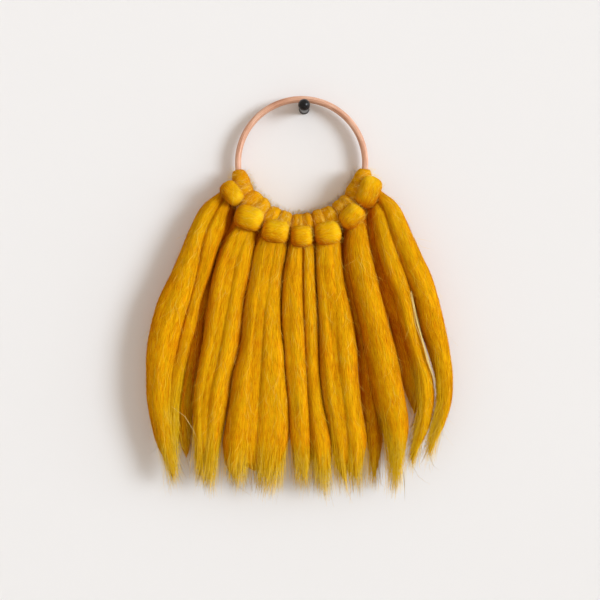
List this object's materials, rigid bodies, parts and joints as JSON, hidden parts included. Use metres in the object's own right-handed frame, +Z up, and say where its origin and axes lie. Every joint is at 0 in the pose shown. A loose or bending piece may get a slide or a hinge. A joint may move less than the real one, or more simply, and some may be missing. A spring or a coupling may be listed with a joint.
{
  "type": "wool hoop wall hanging with embroidery hoop and wall pin",
  "caption": "Wall hanging of thick mustard wool roving hitched in soft locks round the lower half of a beech embroidery hoop that hangs on a black wall pin.",
  "frame": {"origin": "middle of the pin's flat back, where it meets the wall", "axes": "+Z up, +Y into the wall, -Y towards the viewer, +X to the viewer's right"},
  "size_m": [0.295, 0.0373, 0.3911],
  "materials": {
    "beech": "smooth sanded",
    "wool": "unspun combed wool",
    "black_pin": "gloss"
  },
  "bodies": {
    "root": {"hoop": "beech", "wall_pin": "black_pin", "roving_1": "wool", "roving_2": "wool", "roving_3": "wool", "roving_4": "wool", "roving_5": "wool", "roving_6": "wool", "roving_7": "wool"}
  },
  "joints": []
}
